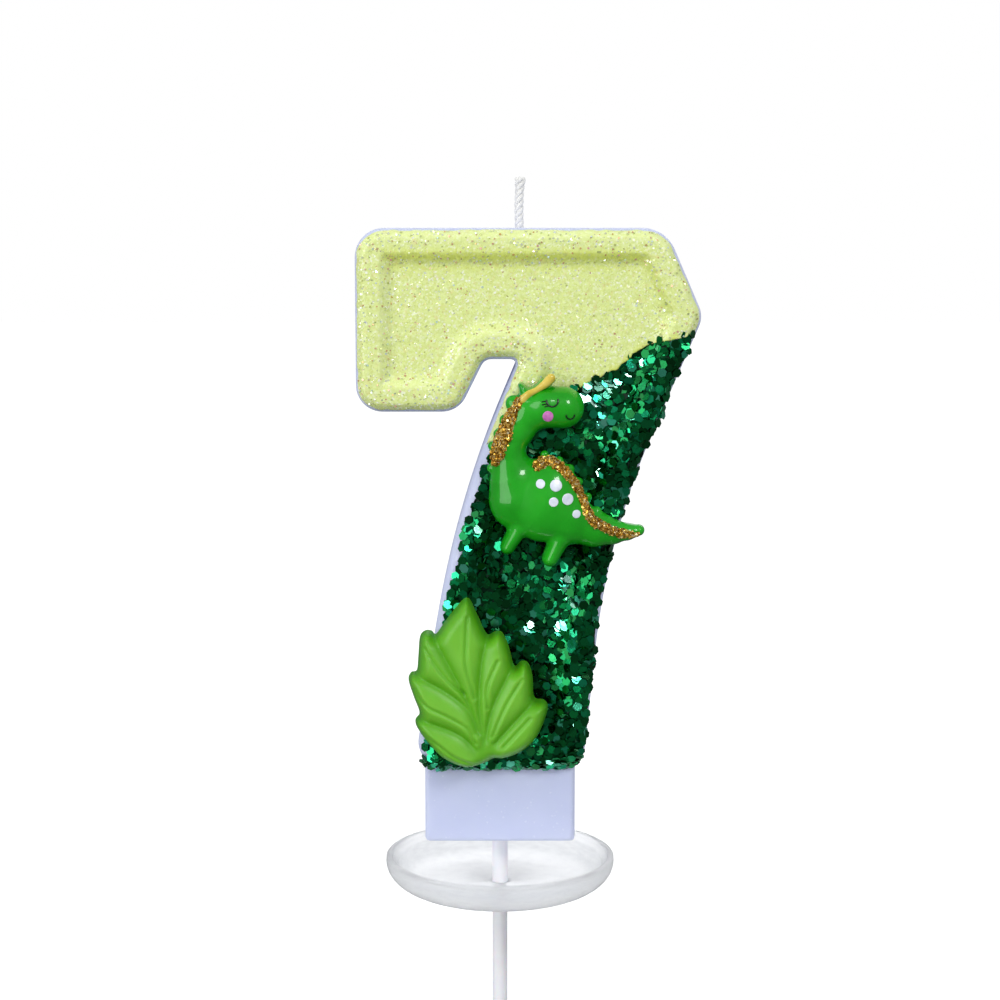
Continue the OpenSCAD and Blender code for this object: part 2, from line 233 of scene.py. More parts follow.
def rounded(corners, steps=16):
    """Closed outline with rounded corners."""
    points = []
    count = len(corners)
    for i, (x, z, radius) in enumerate(corners):
        at = np.array([x, z], float)
        way_in = unit(at - np.array(corners[i - 1][:2]))
        way_out = unit(np.array(corners[(i + 1) % count][:2]) - at)
        n_in, n_out = left_of(way_in), left_of(way_out)
        turn = math.atan2(n_in @ way_out, way_in @ way_out)
        side = math.copysign(1, turn)
        centre = at + side * radius * (n_in + n_out) / (1 + n_in @ n_out)
        for a in turn * np.arange(steps + 1) / steps:
            points.append(centre - side * radius * (n_in * math.cos(a) + left_of(n_in) * math.sin(a)))
    return np.array(points)


def span(a, b, c, d, steps):
    """Points of a smooth curve from b towards c, with a before and d after."""
    t = np.arange(steps)[:, None] / steps
    return 0.5 * (2 * b + (c - a) * t + (2 * a - 5 * b + 4 * c - d) * t**2 + (3 * b - a - 3 * c + d) * t**3)


def smooth_loop(points, steps=6):
    """Closed curve through the points."""
    a, c, d = (np.roll(points, shift, axis=0) for shift in (1, -1, -2))
    return np.concatenate([span(*four, steps) for four in zip(a, points, c, d)])


def smooth_path(points, steps=6):
    """Open curve through the points. Every column is interpolated."""
    p = np.array(points, float)
    p = np.vstack([2 * p[0] - p[1], p, 2 * p[-1] - p[-2]])
    return np.vstack([*(span(*four, steps) for four in zip(p, p[1:], p[2:], p[3:])), p[-2:-1]])


def to_segment(place, a, b):
    """How far along a segment its nearest place is, from 0 to 1, and the distance to it."""
    way = [end - start for start, end in zip(a, b)]
    t = sum((c - start) * w for c, start, w in zip(place, a, way)) / max(sum(w * w for w in way), 1e-12)
    t = np.clip(t, 0, 1)
    return t, np.sqrt(sum((c - start - t * w) ** 2 for c, start, w in zip(place, a, way)))


def line_distance(x, z, points):
    """Distance from each place to a chain of straight pieces."""
    return reduce(np.minimum, (to_segment((x, z), a, b)[1] for a, b in zip(points, points[1:])))


def inside_loop(x, z, points):
    """True where a place lies inside an outline whose last point is its first."""
    odd = np.zeros(np.broadcast(x, z).shape, bool)
    for (ax, az), (bx, bz) in zip(points, points[1:]):
        if az != bz:
            odd ^= ((az > z) != (bz > z)) & (x < (bx - ax) * (z - az) / (bz - az) + ax)
    return odd


def blurred(values, width):
    """Gaussian blur of a grid, width in cells."""
    reach = int(3 * width) + 1
    weights = np.exp(-0.5 * (np.arange(-reach, reach + 1) / width) ** 2)
    weights /= weights.sum()
    for axis in (0, 1):
        count = values.shape[axis]
        padded = np.pad(values, [(reach, reach) if a == axis else (0, 0) for a in (0, 1)], mode="edge")
        values = sum(w * np.take(padded, range(k, k + count), axis) for k, w in enumerate(weights))
    return values


class Chart:
    """A value known on a grid of x and z, read between its points."""

    def __init__(self, low, high, step, value):
        self.low, self.step = low, step
        x = np.arange(low[0], high[0] + step, step)[:, None]
        z = np.arange(low[1], high[1] + step, step)[None, :]
        self.values = value(x, z)

    def __call__(self, x, z):
        g = self.values
        last_x, last_z = np.array(g.shape) - 1.001
        u = np.clip((x - self.low[0]) / self.step, 0, last_x)
        v = np.clip((z - self.low[1]) / self.step, 0, last_z)
        i, k = u.astype(int), v.astype(int)
        u, v = u - i, v - k
        low = g[i, k] * (1 - u) + g[i + 1, k] * u
        high = g[i, k + 1] * (1 - u) + g[i + 1, k + 1] * u
        return low * (1 - v) + high * v


def inset_chart(outline, margin, step):
    """Chart of how far inside an outline each place is, negative outside."""
    loop = np.vstack([outline, outline[:1]])
    return Chart(
        outline.min(0) - margin, outline.max(0) + margin, step,
        lambda x, z: line_distance(x, z, loop) * np.where(inside_loop(x, z, loop), 1, -1))


LATTICE = 32
lattice = np.random.default_rng(SEED).random((LATTICE,) * 3)


def lumps(x, y, z, size):
    """Smooth random value from -1 to 1, in lumps of the given size."""
    total = 0
    place = [c / size + 1000 for c in np.broadcast_arrays(x, y, z)]
    whole = [np.floor(c).astype(int) for c in place]
    part = [eased(c - w) for c, w in zip(place, whole)]
    for corner in np.ndindex(2, 2, 2):
        weight = 1
        for c, p in zip(corner, part):
            weight = weight * (p if c else 1 - p)
        total = total + weight * lattice[tuple((w + c) % LATTICE for w, c in zip(whole, corner))]
    return 2 * total - 1


# ---- solids from distance fields

def join(a, b, blend=0.0):
    """Distance field of two solids joined, with a fillet of about the given size."""
    if blend <= 0:
        return np.minimum(a, b)
    h = np.clip(0.5 + 0.5 * (b - a) / blend, 0, 1)
    return b * (1 - h) + a * h - blend * h * (1 - h)


def keep(a, b, blend=0.0):
    """Distance field of what two solids share."""
    return -join(-a, -b, blend)


def rounded_off(radius, *past):
    """Field of a block with rounded edges, from how far past its sides a place is, plus the radius."""
    out = np.sqrt(sum(np.maximum(p, 0) ** 2 for p in past))
    return out + np.minimum(reduce(np.maximum, past), 0) - radius


def slope_of(field, p, reach):
    moves = reach * np.eye(3)
    return np.stack([(field(*(p + move).T) - field(*(p - move).T)) / (2 * reach) for move in moves], 1)


def sampled(field, low, high, step):
    """The field on a grid over a box, kept positive on the box's own walls."""
    x, y, z = (np.arange(a, b + step, step) for a, b in zip(low, high))
    values = field(x[:, None, None], y[None, :, None], z[None, None, :])
    values = np.broadcast_to(values, (len(x), len(y), len(z))).copy()
    for axis in range(3):
        walls = np.moveaxis(values, axis, 0)
        walls[[0, -1]] = np.maximum(walls[[0, -1]], 0.1 * step)
    return values


def skin_cells(inside):
    """Grid cells that the skin passes through, and each one's number."""
    cells = tuple(n - 1 for n in inside.shape)
    count = np.zeros(cells, np.int8)
    for i, j, k in np.ndindex(2, 2, 2):
        count += inside[i:cells[0] + i, j:cells[1] + j, k:cells[2] + k]
    where = np.argwhere((count > 0) & (count < 8))
    number = np.full(cells, -1)
    number[tuple(where.T)] = np.arange(len(where))
    return where, number


def skin_places(values, where):
    """Mean place in each cell where the skin crosses the cell's edges."""
    total, hits = np.zeros((len(where), 3)), np.zeros(len(where))
    for axis in range(3):
        for du, dv in np.ndindex(2, 2):
            start, end = np.roll((0, du, dv), axis), np.roll((1, du, dv), axis)
            a, b = values[tuple((where + start).T)], values[tuple((where + end).T)]
            cross = (a < 0) != (b < 0)
            point = np.tile(start.astype(float), (len(where), 1))
            point[:, axis] = a / np.where(cross, a - b, 1)
            total[cross] += point[cross]
            hits += cross
    return total / hits[:, None]


def skin_quads(inside, number):
    """A quad between the four cells round each grid edge that the skin crosses."""
    quads = []
    for axis in range(3):
        ends = np.moveaxis(inside, axis, 0)
        edge = np.argwhere(np.moveaxis(ends[1:] != ends[:-1], 0, axis))
        moves = [np.roll((0, du, dv), axis) for du, dv in ((-1, -1), (0, -1), (0, 0), (-1, 0))]
        ring = np.stack([number[tuple((edge + move).T)] for move in moves], 1)
        entering = ~inside[tuple(edge.T)]
        ring[entering] = ring[entering][:, ::-1]
        quads.append(ring)
    return np.concatenate(quads)


def surface(field, low, high, step):
    """Skin of the solid where field(x, y, z) < 0, as points and quads."""
    margin = 2.3 * step
    low, high = np.array(low, float) - margin, np.array(high, float) + margin
    values = sampled(field, low, high, step)
    inside = values < 0
    where, number = skin_cells(inside)
    points = low + step * (where + skin_places(values, where))
    for _ in range(2):
        slope = slope_of(field, points, 0.15 * step)
        push = field(*points.T)[:, None] * slope / np.maximum((slope**2).sum(1), 0.05)[:, None]
        points -= np.clip(push, -0.4 * step, 0.4 * step)
    return points, skin_quads(inside, number).tolist()


def new_object(name, data):
    made = bpy.data.objects.new(name, data)
    bpy.context.scene.collection.objects.link(made)
    return made


def make_mesh(name, points, faces, material, smooth=True):
    """New object from points in millimetres."""
    mesh = bpy.data.meshes.new(name)
    mesh.from_pydata((np.asarray(points) * MM).tolist(), [], faces)
    mesh.polygons.foreach_set("use_smooth", np.full(len(mesh.polygons), smooth))
    mesh.materials.append(material)
    mesh.validate()
    mesh.update()
    return new_object(name, mesh)


def place(piece, body, slot, *nodes):
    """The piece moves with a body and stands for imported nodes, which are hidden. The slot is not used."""
    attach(piece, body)
    if nodes:
        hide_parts(*nodes)
    return piece


def paint_points(piece, name, values):
    """Stores one number per point of a piece, for its material."""
    piece.data.attributes.new(name, "FLOAT", "POINT").data.foreach_set("value", values.astype(np.float32))


# ---- materials

class Nodes:
    """Adds nodes to a tree."""

    def __init__(self, tree):
        self.tree = tree

    def feed(self, socket, value):
        """Links an output to a socket, or sets the socket's constant."""
        if isinstance(value, bpy.types.NodeSocket):
            self.tree.links.new(value, socket)
        else:
            socket.default_value = value

    def fill(self, node, settings):
        """Sets a node's sockets and properties by name, with _ for a space."""
        for key, value in settings.items():
            name = key.replace("_", " ")
            if name in node.inputs:
                self.feed(node.inputs[name], value)
            else:
                setattr(node, key, value)
        return node

    def node(self, kind, **settings):
        return self.fill(self.tree.nodes.new("ShaderNode" + kind), settings)

    def result(self, kind, *values, **settings):
        """First output of a new node, with values for its sockets in order."""
        made = self.node(kind, **settings)
        for socket, value in zip(made.inputs, values):
            self.feed(socket, value)
        return made.outputs[0]

    def math(self, operation, *values):
        return self.result("Math", *values, operation=operation)

    def vector(self, operation, *values, **settings):
        return self.result("VectorMath", *values, operation=operation, **settings)


class Paint(Nodes):
    """A node material around one Principled shader."""

    def __init__(self, name, **values):
        self.material = bpy.data.materials.new(name)
        self.material.use_nodes = True
        super().__init__(self.material.node_tree)
        self.shade(**values)

    def shade(self, **values):
        self.fill(self.tree.nodes["Principled BSDF"], values)

    def colour(self, value):
        self.shade(Base_Color=value)

    def position(self):
        """Coordinates that stay with the piece, in millimetres."""
        return self.vector("SCALE", self.node("TexCoord").outputs["Object"], Scale=1 / MM)

    def attribute(self, name):
        return self.node("Attribute", attribute_name=name).outputs["Fac"]

    def island(self):
        """A random number for each loose part of the mesh."""
        return self.node("NewGeometry").outputs["Random Per Island"]

    def noise(self, size, detail, rough=0.5):
        made = self.node("TexNoise", Vector=self.position(), Scale=1 / size, Detail=detail, Roughness=rough)
        return made.outputs["Fac"]

    def cells(self, size):
        return self.node("TexVoronoi", Vector=self.position(), Scale=1 / size).outputs["Color"]

    def one_of(self, colour):
        """One number out of a random colour."""
        return self.node("SeparateColor", Color=colour).outputs["Red"]

    def ramp(self, value, *stops):
        """Colour by value. Each stop is a position and a screen colour."""
        made = self.node("ValToRGB")
        self.feed(made.inputs[0], value)
        elements = made.color_ramp.elements
        while len(elements) < len(stops):
            elements.new(0.5)
        for element, (position, *rgb) in zip(elements, stops):
            element.position = position
            element.color = screen(*rgb)
        return made.outputs["Color"]

    def fade(self, value, start, end, most):
        """A number that rises from 0 at one value to its most at another."""
        return self.math("MULTIPLY", self.ramp(value, (start, 0, 0, 0), (end, 255, 255, 255)), most)

    def mix(self, factor, a, b):
        made = self.node("Mix", data_type="RGBA")
        for index, value in ((0, factor), (6, a), (7, b)):
            self.feed(made.inputs[index], value)
        return made.outputs[2]

    def bump(self, height, depth):
        """Relief of the given depth in millimetres."""
        self.shade(Normal=self.node("Bump", Height=height, Distance=depth * MM).outputs["Normal"])

    def facets(self, colour, tilt):
        """Turns the surface of each cell its own way, as glitter does."""
        lean = self.vector("SCALE", self.vector("SUBTRACT", colour, (0.5, 0.5, 0.5)), Scale=2 * tilt)
        total = self.vector("ADD", lean, self.node("NewGeometry").outputs["Normal"])
        self.shade(Normal=self.vector("NORMALIZE", total))


def screen(*rgb):
    """Scene colour and alpha of a screen colour from 0 to 255."""
    linear = (c / 255 / 12.92 if c <= 10 else ((c / 255 + 0.055) / 1.055) ** 2.4 for c in rgb)
    return (*linear, 1)


def wax_paint():
    p = Paint("wax", Roughness=0.45, Specular_IOR_Level=0.35, Subsurface_Weight=0.35, Subsurface_Scale=0.002,
              Subsurface_Radius=(1.0, 0.9, 1.1))
    cloudy = p.ramp(p.noise(9.0, 3.0), (0.3, 202, 209, 238), (0.7, 210, 216, 243))
    dust = p.fade(p.one_of(p.cells(0.2)), 0.98, 0.995, 0.3)
    p.colour(p.mix(dust, cloudy, screen(238, 241, 255)))
    p.bump(p.noise(0.8, 4.0, 0.6), 0.04)
    return p.material


def yellow_paint():
    """Fine facets of several yellows, sandy specks, painted shade on slopes that face down and painted light
    on slopes that face up.
    """
    p = Paint("yellow_glitter", Roughness=0.4, Coat_Weight=0.15, Coat_Roughness=0.3)
    cell = p.cells(0.2)
    tone = p.ramp(
        p.one_of(cell), (0.0, 212, 224, 130), (0.4, 221, 234, 148), (0.8, 229, 241, 164),
        (0.94, 240, 248, 198), (1.0, 250, 253, 236))
    warm = p.fade(p.noise(0.9, 4.0, 0.75), 0.54, 0.7, 0.42)
    speckled = p.mix(warm, tone, screen(226, 188, 132))
    # Painted shade: deeper yellow where the coat faces down; painted light: paler yellow where it faces up or
    # right
    shaded = p.mix(p.math("MULTIPLY", p.attribute("under"), 0.7), speckled, screen(214, 226, 84))
    p.colour(p.mix(p.math("MULTIPLY", p.attribute("over"), 0.5), shaded, screen(240, 250, 176)))
    p.facets(cell, 0.16)
    return p.material


def pearl_flake_paint():
    p = Paint("pearl_flakes", Roughness=0.18, Metallic=0.35, Coat_Weight=0.5, Coat_Roughness=0.05)
    p.colour(p.ramp(
        p.island(), (0.0, 228, 240, 160), (0.3, 250, 253, 235), (0.55, 205, 215, 120),
        (0.7, 240, 190, 170), (0.8, 225, 180, 90), (0.9, 215, 245, 225), (1.0, 255, 255, 255)))
    return p.material


def green_bed_paint():
    p = Paint("green_glue", Roughness=0.3, Metallic=0.8)
    cell = p.cells(0.7)
    p.colour(p.ramp(p.one_of(cell), (0.0, 0, 20, 10), (0.6, 0, 52, 26), (1.0, 4, 96, 48)))
    p.facets(cell, 0.4)
    return p.material


def green_flake_paint():
    """Each flake one metallic green; flakes in a glint take a paler mint, a painted highlight on top of their
    real tilt towards the key.
    """
    p = Paint("green_flakes", Metallic=1.0, Coat_Weight=0.25, Coat_Roughness=0.15)
    island = p.island()
    usual = p.ramp(
        island, (0.0, 0, 84, 34), (0.4, 2, 116, 54), (0.8, 6, 146, 84),
        (0.96, 30, 186, 130), (1.0, 110, 226, 190))
    # Painted highlight: paler mint colour for the flakes in glint patches
    glint_highlight = p.ramp(island, (0.0, 20, 190, 140), (0.5, 96, 222, 182), (1.0, 206, 252, 236))
    p.colour(p.mix(p.attribute("glint"), usual, glint_highlight))
    shuffled = p.math("FRACT", p.math("MULTIPLY", island, 37.0))
    p.shade(Roughness=p.result("MapRange", shuffled, To_Min=0.16, To_Max=0.34))
    p.bump(p.noise(0.35, 3.0), 0.012)
    return p.material


def cloudy_paint(name, clouds, stops, grain, depth, **values):
    """Soft clouds of colour and a fine relief. Clouds and grain are what noise() takes."""
    p = Paint(name, **values)
    p.colour(p.ramp(p.noise(*clouds), *stops))
    p.bump(p.noise(*grain), depth)
    return p.material


def resin_paint(name, dark, mid, light, size, **values):
    stops = (0.3, *dark), (0.5, *mid), (0.72, *light)
    return cloudy_paint(name, (size, 3.0), stops, (1.1, 3.0), 0.012, **values)


def leaf_paint():
    p = Paint("leaf_resin", Roughness=0.42, Subsurface_Weight=0.12, Subsurface_Scale=0.0012)
    # Painted shade and light: darker green low in the creases, lighter green on the crests, by relief height
    tone = p.ramp(
        p.attribute("height"), (0.0, 50, 132, 0), (0.45, 80, 164, 6),
        (0.8, 102, 182, 30), (1.0, 122, 198, 52))
    cloud = p.ramp(p.noise(3.5, 3.0), (0.35, 84, 164, 8), (0.65, 114, 190, 44))
    p.colour(p.mix(0.25, tone, cloud))
    p.bump(p.noise(0.6, 4.0), 0.015)
    return p.material


GOLD = [
    (0.0, 122, 78, 8), (0.3, 188, 134, 30), (0.6, 228, 184, 74), (0.85, 250, 216, 120), (1.0, 255, 248, 212),
]


def gold_glue_paint():
    p = Paint("gold_glue", Roughness=0.25, Metallic=0.7)
    cell = p.cells(0.28)
    p.colour(p.ramp(p.one_of(cell), *GOLD))
    p.facets(cell, 0.5)
    return p.material


def gold_flake_paint():
    p = Paint("gold_flakes", Roughness=0.25, Metallic=0.7)
    p.colour(p.ramp(p.island(), *GOLD))
    return p.material


def wick_paint():
    stops = (0.3, 222, 220, 214), (0.7, 250, 249, 246)
    return cloudy_paint(
        "wick_cotton", (0.25, 5.0, 0.7), stops, (0.12, 4.0, 0.7), 0.05, Roughness=0.7, Sheen_Weight=0.3)


def stick_paint():
    stops = (0.3, 243, 244, 249), (0.7, 250, 250, 253)
    return cloudy_paint(
        "white_plastic", (4.0, 3.0), stops, (0.5, 3.0, 0.6), 0.01,
        Roughness=0.3, Subsurface_Weight=0.2, Subsurface_Scale=0.001)


def tray_paint():
    """Frosted plastic with faint streaks round it, and painted shade that makes the inner wall greyer."""
    p = Paint("frosted_plastic", Roughness=0.3, Transmission_Weight=0.86, IOR=1.35)
    squeezed = p.vector("MULTIPLY", p.position(), (1, 1, 4))
    streaks = p.node("TexNoise", Vector=squeezed, Scale=0.7, Detail=3.0).outputs["Fac"]
    plain = p.ramp(streaks, (0.35, 243, 244, 246), (0.6, 252, 253, 254))
    # Painted shade: a greyer tone for the inner wall
    inner_shade_tone = p.ramp(streaks, (0.3, 214, 216, 219), (0.7, 230, 232, 234))
    p.colour(p.mix(p.attribute("inner_wall_shade"), plain, inner_shade_tone))
    p.bump(streaks, 0.05)
    return p.material


def dinosaur_paint():
    return resin_paint(
        "green_resin", (14, 146, 8), (22, 162, 16), (36, 176, 30), 6.0,
        Roughness=0.35, Specular_IOR_Level=0.2, Coat_Weight=0.8, Coat_Roughness=0.05,
        Subsurface_Weight=0.1, Subsurface_Scale=0.001)


def amber_paint():
    return resin_paint(
        "amber_paint", (188, 164, 36), (214, 188, 66), (232, 206, 100), 1.6,
        Roughness=0.2, Coat_Weight=0.6, Coat_Roughness=0.05)


def ink_paint():
    return resin_paint("dark_ink", (4, 26, 8), (8, 34, 12), (14, 44, 18), 0.6, Roughness=0.3)


def pink_paint():
    return resin_paint(
        "pink_paint", (206, 104, 186), (222, 124, 202), (236, 150, 216), 0.5,
        Roughness=0.25, Coat_Weight=0.4, Coat_Roughness=0.08)


def white_paint():
    return resin_paint(
        "white_paint", (214, 222, 236), (226, 232, 244), (240, 244, 250), 0.7,
        Roughness=0.25, Coat_Weight=0.4, Coat_Roughness=0.08)


def clear_glue_paint():
    return resin_paint(
        "clear_glue", (226, 226, 218), (236, 236, 230), (244, 244, 240), 1.5,
        Roughness=0.12, Transmission_Weight=0.5)


def solid(name, field, low, high, step, paint, slot, *nodes):
    """A piece of the candle from a distance field: the piece and its points."""
    points, quads = surface(field, low, high, step)
    piece = make_mesh(name, points, quads, paint)
    return place(piece, "candle", slot, *nodes), points


# ---- wax numeral and its coats

outline = rounded(CORNERS)
inset = inset_chart(outline, 2.0, 0.15)


def panel_front(x, z):
    """How far the front stands from the middle, past the rounded edge."""
    return HALF - SINK * eased((inset(x, z) - CREST) / (PANEL - CREST))


relief = Chart(outline.min(0) - 1, outline.max(0) + 1, 0.15, lambda x, z: blurred(panel_front(x, z), 1.6))


def numeral_field(x, y, z):
    """The seven, with rounded edges and its front hollowed to the relief."""
    body = rounded_off(ROUND, ROUND - inset(x, z), np.abs(y) - (HALF - ROUND))
    return keep(body, (-y - relief(x, z)) * 0.85)


def tang_field(x, y, z):
    """The plain block below, which reaches into the seven."""
    bottom, top = TANG_BOTTOM, BODY_BOTTOM + 2
    corner = 0.6
    half = np.array([*TANG_HALF, (top - bottom) / 2]) - corner
    middle = (0, 0, (bottom + top) / 2)
    return rounded_off(corner, *(np.abs(c - m) - h for c, m, h in zip((x, y, z), middle, half)))


def wax_field(x, y, z):
    return join(numeral_field(x, y, z), tang_field(x, y, z), 0.4)


def wax_front(x, z):
    """How far the whole front skin stands from the middle."""
    d = np.clip(inset(x, z), 0, ROUND)
    edge = HALF - ROUND + np.sqrt(ROUND**2 - (ROUND - d) ** 2)
    return np.minimum(edge, relief(x, z))


def above_line(x, z):
    """Height above the line where the coats meet."""
    return z - np.interp(x, COLOUR_LINE[:, 0], COLOUR_LINE[:, 1])


def bare_band(x, z):
    """Width of wax left bare beside the green flakes, wider down the stem's left."""
    return np.where(x < 0.19 * (z - BODY_BOTTOM), 1.1, 0.35)


def coat_lift(thickness, rim):
    """How thick a coat is this far in from its edge."""
    return thickness * (0.35 + 0.65 * eased(rim / 0.8))


def coat_field(side, thickness, grain, uneven):
    """A skin on the wax, thin at its ragged edge. Side 1 is below the colour line and -1 above."""
    def field(x, y, z):
        wax = wax_field(x, y, z)
        ragged = 0.25 * lumps(x, 0, z, 1.1)
        bare = BARE_EDGE if side < 0 else bare_band(x, z)
        rim = inset(x, z) - bare + uneven * lumps(x, 0, z, 0.9)
        lift = coat_lift(thickness, rim) + grain * lumps(x, y, z, 0.45)
        skin = np.maximum(wax - lift, -0.3 - wax)
        edge = np.maximum(-rim, side * above_line(x, z) + ragged)
        return np.maximum(np.maximum(skin, edge), y + HALF - 2.2)
    return field


def wax_seven():
    low, high = (ARM_LEFT, -HALF, TANG_BOTTOM), (SHOULDER, HALF, TOP)
    solid("wax_seven", wax_field, low, high, 0.33, wax_paint(), "wax", "wax_numeral")


def yellow_glitter():
    field = coat_field(-1, COAT, 0.03, 0.1)
    low, high = (ARM_LEFT, COAT_FRONT, YELLOW_LOWEST), (SHOULDER, COAT_BACK, TOP)
    coat, points = solid(
        "yellow_glitter", field, low, high, 0.17, yellow_paint(), "yellow_glitter", "yellow_glitter_coat")
    # Painted shade and light for the coat: under marks slopes facing down inside the border, over marks
    # slopes facing up or right
    slope = slope_of(field, points, 0.9)
    within = eased((inset(points[:, 0], points[:, 2]) - 1.7) / 0.8)
    paint_points(coat, "under", np.clip(-2.2 * slope[:, 2], 0, 1) * within)
    paint_points(coat, "over", np.clip(1.6 * slope[:, 2] + 1.1 * slope[:, 0] * within, 0, 1))


def green_glue():
    low, high = (STEM_LEFT, COAT_FRONT, BODY_BOTTOM), (SHOULDER, COAT_BACK, GREEN_HIGHEST)
    field = coat_field(1, 0.3, 0.05, 0.25)
    solid("green_glue", field, low, high, 0.25, green_bed_paint(), "green_glue", "green_glue_bed")


# ---- loose flakes

def tilted(normals, spread, rng):
    """Normals turned at random by about the given angle, in degrees."""
    push = rng.normal(size=normals.shape) * np.tan(np.radians(np.broadcast_to(spread, len(normals))))[:, None]
    push -= (push * normals).sum(1)[:, None] * normals
    return unit(normals + push)


def flake_mesh(name, centres, normals, sizes, thickness, paint, rng, sides=6):
    across = unit(np.cross(normals, rng.normal(size=normals.shape)))
    along = np.cross(normals, across)
    angle = np.arange(sides)[None, :, None] * 2 * math.pi / sides
    rim = (np.cos(angle) * across[:, None] + np.sin(angle) * along[:, None]) * sizes[:, None, None] / 2
    lift = normals[:, None] * thickness / 2
    points = np.concatenate([centres[:, None] + rim + lift, centres[:, None] + rim - lift], 1).reshape(-1, 3)
    top = list(range(sides))
    pattern = [top, [sides + k for k in reversed(top)]]
    pattern += [[k, sides + k, sides + (k + 1) % sides, (k + 1) % sides] for k in top]
    faces = [[v + 2 * sides * i for v in f] for i in range(len(centres)) for f in pattern]
    return make_mesh(name, points, faces, paint, smooth=False)


def scattered(pitch, low, high, rng):
    """Places on a loose triangular grid over a box of x and z."""
    rows = np.arange(low[1], high[1], pitch * 0.87)
    across = np.arange(low[0], high[0], pitch)
    spots = np.array([(x + (r % 2) * pitch / 2, z) for r, z in enumerate(rows) for x in across])
    return (spots + rng.normal(size=spots.shape) * pitch * 0.22).T


def front_frame(x, z, lift):
    """Points above the front skin, and its normals there."""
    reach = 0.2
    sx = (wax_front(x + reach, z) - wax_front(x - reach, z)) / (2 * reach)
    sz = (wax_front(x, z + reach) - wax_front(x, z - reach)) / (2 * reach)
    sx, sz = np.clip(sx, -1.5, 1.5), np.clip(sz, -1.5, 1.5)
    normals = unit(np.stack([-sx, -np.ones_like(sx), -sz], 1))
    on_skin = np.stack([x, -wax_front(x, z), z], 1)
    return on_skin + normals * lift[:, None], normals


def flake_layer(pitch, spread, low, high, rng):
    """One layer of green flakes that tilt together in patches: centres, normals, sizes, and which glint."""
    x, z = scattered(pitch, (STEM_LEFT, BODY_BOTTOM), (SHOULDER, GREEN_HIGHEST), rng)
    ragged = 0.7 * lumps(x, 0, z, 1.7)
    bare = bare_band(x, z) + 0.1 + 0.4 * lumps(x, 5, z, 1.3)
    bare = np.where(z < BODY_BOTTOM + 2, 0.1, bare)
    inside = (inset(x, z) > bare) & (above_line(x, z) < 0.3 + ragged)
    x, z = x[inside], z[inside]
    centres, normals = front_frame(x, z, rng.uniform(low, high, len(x)))
    normals = normals + 0.45 * np.stack([lumps(x, 9, z, 2.6), 0 * x, lumps(x, 17, z, 2.6)], 1)
    caught = np.zeros(len(x), bool)
    spreads = np.full(len(x), spread, float)
    for gx, gz, radius, loose in GLINTS:
        near = (np.hypot(x - gx, z - gz) < radius) & (rng.random(len(x)) < 0.8)
        at = (gx, 0, gz)
        normals[near] = unit(unit(KEY - at) + unit(EYE - at))
        spreads[near] = loose
        caught |= near
    return centres, tilted(unit(normals), spreads, rng), rng.normal(1.16, 0.05, len(x)), caught


def hem_flakes(rng):
    """A row of green flakes on the rounded edge under the foot, as flake_layer gives them."""
    x = np.arange(-9.4, 9.2, 0.5)
    corner, middle, straight = 3, -0.15, 7.35
    past_corner = np.clip(np.abs(x - middle) - straight, 0, corner - 0.1)
    foot = BODY_BOTTOM + corner - np.sqrt(corner**2 - past_corner**2)
    a = np.radians(rng.uniform(32, 64, len(x)))
    out = np.stack([0 * x, -np.cos(a), -np.sin(a)], 1)
    centres = np.stack([x, 0 * x - HALF + ROUND, foot + ROUND - 0.15], 1) + out * (ROUND + 0.27)
    return centres, tilted(out, 12, rng), rng.normal(1.14, 0.05, len(x)), np.zeros(len(x), bool)


def green_flakes():
    """Hexagonal flakes in three layers, each sparser, less even and further out."""
    rng = np.random.default_rng(SEED)
    layers = [
        flake_layer(0.8, 5, 0.25, 0.31, rng),
        flake_layer(0.95, 9, 0.33, 0.43, rng),
        flake_layer(1.3, 14, 0.44, 0.6, rng),
        hem_flakes(rng),
    ]
    centres, normals, sizes, glints = (np.concatenate(part) for part in zip(*layers))
    flakes = flake_mesh("green_flakes", centres, normals, sizes, 0.04, green_flake_paint(), rng)
    # Flakes in glint patches are marked for the painted highlight colour
    paint_points(flakes, "glint", np.repeat(glints, len(flakes.data.vertices) // len(glints)))
    place(flakes, "candle", "green_flakes", "green_glitter_flakes")


def pearl_flakes():
    rng = np.random.default_rng(SEED + 1)
    x, z = scattered(0.42, (ARM_LEFT, YELLOW_LOWEST), (SHOULDER, TOP), rng)
    inside = (inset(x, z) > 0.55) & (above_line(x, z) > 0.2) & (rng.random(len(x)) < 0.4)
    x, z = x[inside], z[inside]
    skin = coat_lift(COAT, inset(x, z) - BARE_EDGE)
    centres, normals = front_frame(x, z, skin + rng.uniform(-0.02, 0.08, len(x)))
    sizes = rng.uniform(0.16, 0.32, len(x))
    normals = tilted(normals, 14, rng)
    flakes = flake_mesh("pearl_flakes", centres, normals, sizes, 0.03, pearl_flake_paint(), rng)
    place(flakes, "candle", "yellow_glitter")


# ---- dinosaur charm

def puff(x, y, z, path, blend=0.0):
    """A chain of flattened blobs that stand off the charm's back."""
    behind = 0.45
    total = None
    for (*a, a_radius, a_depth), (*b, b_radius, b_depth) in zip(path, path[1:]):
        t, away = to_segment((x, z), a, b)
        radius = a_radius + t * (b_radius - a_radius)
        depth = a_depth + t * (b_depth - a_depth) - behind
        out = np.hypot(away / radius, (y + CHARM_BACK + behind) / depth)
        field = (out - 1) * np.minimum(radius, depth)
        total = field if total is None else join(total, field, blend)
    return total


